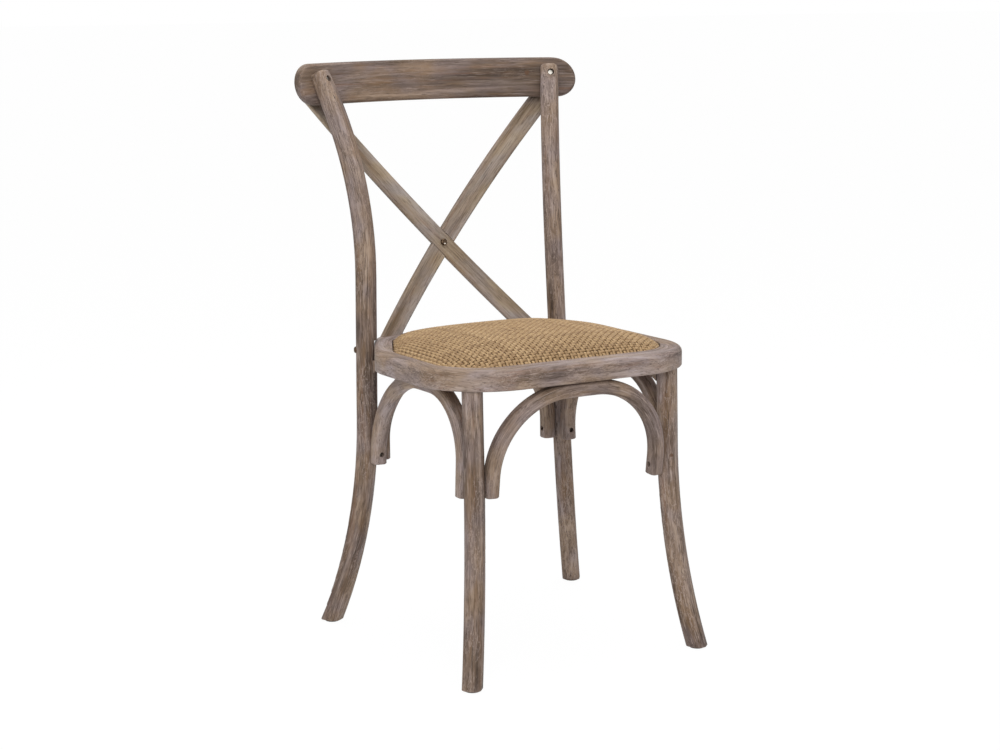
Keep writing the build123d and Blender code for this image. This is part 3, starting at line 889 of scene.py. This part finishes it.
def put_in_scene(name, points, faces, sizes, material, strand=None):
    """A mesh object from points, one run of corner numbers, the number of corners of each face, and, for a
    strand, three values to a point."""
    mesh = bpy.data.meshes.new(name)
    mesh.vertices.add(len(points))
    mesh.vertices.foreach_set("co", points.astype(np.float32).ravel())
    mesh.loops.add(len(faces))
    mesh.loops.foreach_set("vertex_index", faces.astype(np.int32))
    mesh.polygons.add(len(sizes))
    starts = np.concatenate(([0], np.cumsum(sizes)[:-1]))
    mesh.polygons.foreach_set("loop_start", starts.astype(np.int32))
    mesh.polygons.foreach_set("loop_total", sizes.astype(np.int32))
    mesh.update(calc_edges=True)
    if mesh.validate():
        raise RuntimeError(f"{name} has a broken mesh")
    mesh.shade_smooth()
    if strand is not None:
        layer = mesh.attributes.new("strand", "FLOAT_VECTOR", "POINT")
        layer.data.foreach_set("vector", strand.astype(np.float32).ravel())
    mesh.materials.append(material)
    piece = bpy.data.objects.new(name, mesh)
    bpy.context.scene.collection.objects.link(piece)
    return piece


class SeatForm:
    """The crowned seat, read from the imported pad: its plane, its outline and its height."""

    def __init__(self):
        tolerance = 0.0002
        points_to_side = 40
        look = bpy.context.scene.chair_rattan
        self.look = look
        self.tilt = np.array(
            [
                [1, 0, 0],
                [0, math.cos(look.slope), math.sin(look.slope)],
                [0, -math.sin(look.slope), math.cos(look.slope)],
            ]
        )
        flat = points_of("seat_pad") @ self.tilt
        self.centre = (flat[:, 1].max() + flat[:, 1].min()) / 2
        self.base = flat[:, 2].min() + look.foot
        rim = flat[np.abs(flat[:, 2] - self.base - look.edge / 2) < tolerance, :2] - (0, self.centre)
        rim = rim[np.argsort(np.arctan2(rim[:, 1], rim[:, 0]))]
        between = np.linspace(0, 1, points_to_side, endpoint=False)[:, None]
        dense = rim[:, None] * (1 - between) + np.roll(rim, -1, 0)[:, None] * between
        dense = dense.reshape(-1, 2)
        turns = np.arctan2(dense[:, 1], dense[:, 0])
        order = np.argsort(turns)
        self.turns = turns[order]
        self.radii = np.hypot(dense[:, 0], dense[:, 1])[order]
        self.half = np.abs(rim).max(0)

    def outline(self, turns):
        """Radius of the rim at some turns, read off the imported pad."""
        return np.interp(turns, self.turns, self.radii, period=2 * np.pi)

    def gauge(self, x, y):
        """Share of the way from the middle to the rim: radius over the rim's radius at that turn."""
        return np.hypot(x, y) / self.outline(np.arctan2(y, x))

    def lane_gauge(self, lane, run, lengthwise):
        """The gauge at a run along a lane."""
        return self.gauge(lane, run) if lengthwise else self.gauge(run, lane)

    def height(self, x, y):
        """Crown: the rim's height plus a rise that falls with a power of the gauge, rolled down at the rim.

        Towards the middle the gauge goes over into that of a rounded oval, so that the crown has no ridges.
        """
        look = self.look
        share = np.minimum(self.gauge(x, y), 1)
        oval = np.abs(x / self.half[0]) ** look.oval + np.abs(y / self.half[1]) ** look.oval
        oval = oval ** (1 / look.oval)
        soft = np.clip(oval + (share - oval) * share**2, 0, 1)
        crown = look.edge + (look.crown - look.edge) * (1 - soft**look.power)
        rolled = np.clip((share - 1 + look.roll) / look.roll, 0, 1)
        return crown - (look.edge + look.tuck) * rolled**look.roll_power

    def section(self, axis):
        """Ways along the crown's middle section from the middle, and where they end on the axis."""
        count = 801
        run = np.linspace(-self.half[axis], self.half[axis], count)
        rise = self.height(run, 0 * run) if axis == 0 else self.height(0 * run, run)
        way = np.concatenate([[0], np.cumsum(np.hypot(np.diff(run), np.diff(rise)))])
        return way - np.interp(0, run, way), run

    def directions(self, x, y, lengthwise):
        """The crown's normal, and the direction across a strand, from slopes over a small step."""
        step = 0.0005
        slope_x = (self.height(x + step, y) - self.height(x - step, y)) / (2 * step)
        slope_y = (self.height(x, y + step) - self.height(x, y - step)) / (2 * step)
        ones = np.ones_like(slope_x)
        normal = np.stack([-slope_x, -slope_y, ones], -1)
        normal /= np.linalg.norm(normal, axis=-1, keepdims=True)
        ahead = np.stack([0 * ones, ones, slope_y] if lengthwise else [ones, 0 * ones, slope_x], -1)
        ahead /= np.linalg.norm(ahead, axis=-1, keepdims=True)
        return normal, np.cross(ahead, normal)

    def place(self, points):
        """Points measured from the seat's middle, carried to the sloping seat."""
        return (points + (0, self.centre, self.base)) @ self.tilt.T


def strand_lines(form, lengthwise):
    """Lines of the strands in plan, a row of points to a strand.

    These are the strands' numbers, the ways along the crown, the points' lanes and their runs along the
    lanes, and a mask of the points that are kept.

    Lanes and steps are even along the crown, so they close up in plan where it falls to the rim. A point
    past the rim moves back to it, and only the first such point on each side is kept.
    """
    pitch = form.look.pitch
    own_way, own_place = form.section(0 if lengthwise else 1)
    run_way, run_place = form.section(1 if lengthwise else 0)
    count = int(own_way[-1] / pitch)
    numbers = np.arange(-count, count)
    lanes = np.interp((numbers + 0.5) * pitch, own_way, own_place)
    steps = (int(run_way[-1] / pitch) + 2) * STEPS_TO_PITCH
    way = np.arange(-steps, steps + 1) * pitch / STEPS_TO_PITCH
    lane, station = np.meshgrid(lanes, np.interp(way, run_way, run_place), indexing="ij")
    inside = form.lane_gauge(lane, station, lengthwise) < 1
    used = inside.any(1)
    lane = lane[used]
    inside = inside[used]

    search = np.linspace(run_place[0], run_place[-1], RIM_SEARCH)
    within = form.lane_gauge(lane[:, :1], search, lengthwise) < 1
    first = search[within.argmax(1)][:, None]
    last = search[::-1][within[:, ::-1].argmax(1)][:, None]
    kept = inside.copy()
    kept[:, 1:] |= inside[:, :-1]
    kept[:, :-1] |= inside[:, 1:]
    return numbers[used][:, None], way, lane, np.clip(station[used], first, last), kept


def tube_faces(kept, sides):
    """Faces of closed tubes on rows of kept points: quads from ring to ring, and a cap at both ends."""
    index = np.cumsum(kept.ravel()).reshape(kept.shape) - 1
    joined = kept[:, :-1] & kept[:, 1:]
    near = index[:, :-1][joined][:, None] * sides
    turn = np.arange(sides)
    after = (turn + 1) % sides
    quads = np.stack([near + turn, near + sides + turn, near + sides + after, near + after], -1)
    rows = np.arange(len(kept))
    heads = index[rows, kept.argmax(1)][:, None] * sides
    tails = index[rows, kept.shape[1] - 1 - kept[:, ::-1].argmax(1)][:, None] * sides
    caps = np.concatenate([heads + turn, tails + turn[::-1]])
    faces = np.concatenate([quads.ravel(), caps.ravel()])
    sizes = np.concatenate([np.full(quads.size // 4, 4), np.full(len(caps), sides)])
    return faces, sizes


def strands(form, lengthwise):
    """Strands of a plain weave: flat tubes over the crown, one over and one under.

    A strand's middle lies under the crown and swings up and down by half its thickness, along a sine that
    turns over from strand to strand. Its section is an ellipse across the strand and along the crown's
    normal. It drifts aside and swells along slow sines, and calms down and widens near the rim.
    """
    look = form.look
    numbers, way, lane, run, kept = strand_lines(form, lengthwise)
    turned = np.where(numbers % 2 == 0, 1.0, -1.0) * (1 if lengthwise else -1)
    tight = np.clip((1 - form.lane_gauge(lane, run, lengthwise)) / CALM_SHARE, LEAST_SWING, 1)
    swing = turned * np.sin(np.pi * way / look.pitch) * tight
    drift = np.sin(numbers * DRIFT_TURNS[0] + way * DRIFT_TURNS[1]) * look.pitch * DRIFT
    swell = 1 + SWELL * np.sin(numbers * SWELL_TURNS[0] + way * SWELL_TURNS[1])
    swell = swell * (1 + RIM_WIDENING * (1 - tight))

    x, y = (lane, run) if lengthwise else (run, lane)
    normal, aside = form.directions(x, y, lengthwise)
    centre = np.stack([x, y, form.height(x, y)], -1)
    centre = centre + normal * ((swing / 2 - look.sink) * look.thick)[..., None] + aside * drift[..., None]
    round_it = np.arange(look.sides) * 2 * np.pi / look.sides + np.pi / 2
    wide = np.cos(round_it)[:, None] * look.width / 2 * swell[:, :, None, None]
    high = np.sin(round_it)[:, None] * look.thick / 2
    tube = centre[:, :, None] + aside[:, :, None] * wide + normal[:, :, None] * high

    own_tone = numbers * OWN_TONE_STEP % 1 + (0 if lengthwise else WEFT_TONE_START)
    values = (run[:, :, None], np.cos(round_it), own_tone[:, :, None])
    strand = np.stack([np.broadcast_to(value, tube.shape[:3]) for value in values], -1)
    faces, sizes = tube_faces(kept, look.sides)
    return form.place(tube[kept].reshape(-1, 3)), faces, sizes, strand[kept].reshape(-1, 3)


def ground(form):
    """Ground under the weave: rings of the rim's outline at their gauges, under the crown, and closed."""
    shares = np.array(GROUND_RINGS)[:, None]
    turn = np.arange(GROUND_SIDES)
    after = (turn + 1) % GROUND_SIDES
    angles = turn * 2 * np.pi / GROUND_SIDES
    rim = form.outline(angles)
    x = shares * rim * np.cos(angles)
    y = shares * rim * np.sin(angles)
    z = form.height(x, y) - form.look.thick * form.look.ground_sink
    z[-len(GROUND_HEM) :] = np.array(GROUND_HEM)[:, None]
    points = np.stack([x, y, z], -1).reshape(-1, 3)
    ring = np.arange(len(shares) - 1)[:, None] * GROUND_SIDES
    over = ring + GROUND_SIDES
    quads = np.stack([ring + turn, over + turn, over + after, ring + after], -1)
    caps = np.concatenate([turn, over[-1] + turn[::-1]])
    faces = np.concatenate([quads.ravel(), caps])
    sizes = np.concatenate([np.full(quads.size // 4, 4), np.full(2, GROUND_SIDES)])
    return form.place(points), faces, sizes


class CHAIR_OT_bars(bpy.types.Operator):
    """Dress the legs and posts in washed wood"""

    bl_idname = "chair.bars"
    bl_label = "Legs and posts"

    def execute(self, context):
        for seed, name in enumerate(BARS, start=1):
            washed_wood(name, grain_along_bar, seed)
        return {"FINISHED"}


class CHAIR_OT_back(bpy.types.Operator):
    """Dress the crest rail and the cross slats in washed wood"""

    bl_idname = "chair.back"
    bl_label = "Crest rail and slats"

    def execute(self, context):
        washed_wood("crest_rail", grain_across, seed=11)
        for seed, name in enumerate(SLATS, start=13):
            washed_wood(name, grain_along_slat, seed)
        return {"FINISHED"}


class CHAIR_OT_frame(bpy.types.Operator):
    """Dress the seat frame, its board and its blocks in washed wood"""

    bl_idname = "chair.frame"
    bl_label = "Seat frame"

    def execute(self, context):
        washed_wood("seat_frame", grain_round_frame, seed=21)
        washed_wood("seat_board", grain_across, seed=23)
        for seed, name in enumerate(BLOCKS, start=25):
            washed_wood(name, grain_upright, seed)
        return {"FINISHED"}


class CHAIR_OT_bows(bpy.types.Operator):
    """Dress the bows in washed wood"""

    bl_idname = "chair.bows"
    bl_label = "Bows"

    def execute(self, context):
        for seed, name in enumerate(CROSSWISE_BOWS + SIDE_BOWS, start=31):
            washed_wood(name, grain_along_arch, seed)
        return {"FINISHED"}


class CHAIR_OT_seat(bpy.types.Operator):
    """Weave the rattan seat over its ground"""

    bl_idname = "chair.seat"
    bl_label = "Woven seat"

    def execute(self, context):
        form = SeatForm()
        under = put_in_scene("rattan_ground", *ground(form), shade_dark_ground("rattan_ground"))
        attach(under, "root")
        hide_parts("seat_pad")
        weave = (("rattan_warp", True, 0.0), ("rattan_weft", False, form.look.weft_dark))
        for name, lengthwise, dark_share in weave:
            points, faces, sizes, strand = strands(form, lengthwise)
            piece = put_in_scene(name, points, faces, sizes, cane(name, dark_share), strand)
            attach(piece, "root")
        return {"FINISHED"}


class CHAIR_OT_fittings(bpy.types.Operator):
    """Dress the screws, bolts, rivet and glides"""

    bl_idname = "chair.fittings"
    bl_label = "Fittings"

    def execute(self, context):
        look = context.scene.chair_fittings
        bronze = (look.bronze, look.bronze_rough, look.bronze_dull)
        head = points_of("cross_rivet")
        crown = tuple(head[head[:, 1].argmin()])
        dress(metal("zinc_steel", look.zinc, look.zinc_rough, look.zinc_dull), *ZINC)
        dress(metal("dark_bronze", *bronze), *BRONZE)
        # The rivet gets a painted highlight at its front-most point
        dress(metal("rubbed_bronze", *bronze, crown), "cross_rivet")
        dress(nylon("glide_nylon", look.nylon), *GLIDES)
        return {"FINISHED"}


class CHAIR_OT_stage(bpy.types.Operator):
    """Set the camera, the floor and the light"""

    bl_idname = "chair.stage"
    bl_label = "Stage"

    def execute(self, context):
        look = context.scene.chair_stage
        scene = context.scene
        scene.view_settings.view_transform = "Standard"
        away = Vector(
            (
                math.sin(look.azimuth) * math.cos(look.elevation),
                -math.cos(look.azimuth) * math.cos(look.elevation),
                math.sin(look.elevation),
            )
        )
        right = Vector((math.cos(look.azimuth), math.sin(look.azimuth), 0))
        camera = bpy.data.objects.new("camera", bpy.data.cameras.new("camera"))
        camera.data.lens = look.lens
        camera.data.sensor_width = look.sensor
        camera.location = look.aim + right * look.aside + away * look.distance
        camera.rotation_euler = (-away).to_track_quat("-Z", "Y").to_euler()
        scene.collection.objects.link(camera)
        scene.camera = camera

        self.floor(look)
        self.world(scene, look)
        self.lamp(scene, "key_lamp", look.key, look.key_size, look.key_place, look.aim)
        self.lamp(scene, "top_lamp", look.top, look.top_size, look.top_place, look.aim)
        return {"FINISHED"}

    def background(self, wire):
        """1 for rays from the camera, off gloss and through glass, and 0 for the rays that light."""
        first, second, third = [wire.add("ShaderNodeLightPath", {}, {}, ray) for ray in BACKGROUND_RAYS]
        return wire.maths("MAXIMUM", wire.maths("MAXIMUM", first, second), third)

    def floor(self, look):
        """A wide floor, white to the camera and shaded by the chair."""
        cloud_share = 0.04
        cloud_tone = 0.9
        half = look.reach
        points = np.array([(-half, -half, 0), (half, -half, 0), (half, half, 0), (-half, half, 0)], float)
        material, wire, shader = new_material("pale_floor")
        tree = material.node_tree
        cloud = wire.noise(place_in_object(wire), scale=3)
        colour = wire.mix(cloud * cloud_share, solid(look.floor), solid(scaled(look.floor, cloud_tone)))
        feed(shader, Base_Color=colour, Roughness=cloud * 0.1 + 0.85)
        glow = wire.add("ShaderNodeEmission", {}, {"Strength": look.glow, "Color": (1, 1, 1, 1)})
        body = Wire(tree, shader.outputs[0])
        share = self.background(wire) * look.glow_share
        both = wire.add("ShaderNodeMixShader", {}, {0: share, 1: body, 2: glow})
        tree.links.new(both.socket, tree.nodes["Material Output"].inputs["Surface"])
        floor = put_in_scene("floor", points, np.arange(4), np.array([4]), material)

    def world(self, scene, look):
        """Even light all round, and white where the camera sees it."""
        world = bpy.data.worlds.new("studio")
        world.use_nodes = True
        scene.world = world
        tree = world.node_tree
        sky = tree.nodes["Background"]
        sky.inputs["Color"].default_value = (1, 1, 1, 1)
        strength = self.background(Wire(tree)) * (1 - look.world) + look.world
        tree.links.new(strength.socket, sky.inputs["Strength"])

    def lamp(self, scene, name, power, size, place, aim):
        """A large soft lamp that looks at the seat."""
        lamp = bpy.data.objects.new(name, bpy.data.lights.new(name, "AREA"))
        lamp.data.energy = power
        lamp.data.size = size
        lamp.location = place
        lamp.rotation_euler = (aim - place).to_track_quat("-Z", "Y").to_euler()
        scene.collection.objects.link(lamp)


class CHAIR_PT_panel(bpy.types.Panel):
    """Sizes, colours and steps of the chair"""

    bl_idname = "CHAIR_PT_panel"
    bl_label = "Chair"
    bl_space_type = "VIEW_3D"
    bl_region_type = "UI"
    bl_category = "Chair"

    def draw(self, context):
        for group in GROUPS:
            box = self.layout.box()
            settings = getattr(context.scene, group)
            for key in settings.bl_rna.properties.keys():
                if key not in ("rna_type", "name"):
                    box.prop(settings, key)
        for step in STEPS:
            self.layout.operator(step.bl_idname)


GROUPS = {
    "chair_wood": WashedWood,
    "chair_rattan": RattanSeat,
    "chair_fittings": Fittings,
    "chair_stage": ChairStage,
}
STEPS = (
    CHAIR_OT_bars,
    CHAIR_OT_back,
    CHAIR_OT_frame,
    CHAIR_OT_bows,
    CHAIR_OT_seat,
    CHAIR_OT_fittings,
    CHAIR_OT_stage,
)


def register():
    for kind in (*GROUPS.values(), *STEPS, CHAIR_PT_panel):
        bpy.utils.register_class(kind)
    for group, kind in GROUPS.items():
        setattr(bpy.types.Scene, group, PointerProperty(type=kind))


def unregister():
    for group in GROUPS:
        delattr(bpy.types.Scene, group)
    for kind in (CHAIR_PT_panel, *reversed(STEPS), *reversed(GROUPS.values())):
        bpy.utils.unregister_class(kind)


def main():
    register()
    bpy.ops.chair.bars()
    bpy.ops.chair.back()
    bpy.ops.chair.frame()
    bpy.ops.chair.bows()
    bpy.ops.chair.seat()
    bpy.ops.chair.fittings()
    bpy.ops.chair.stage()


if __name__ == "__main__":
    main()
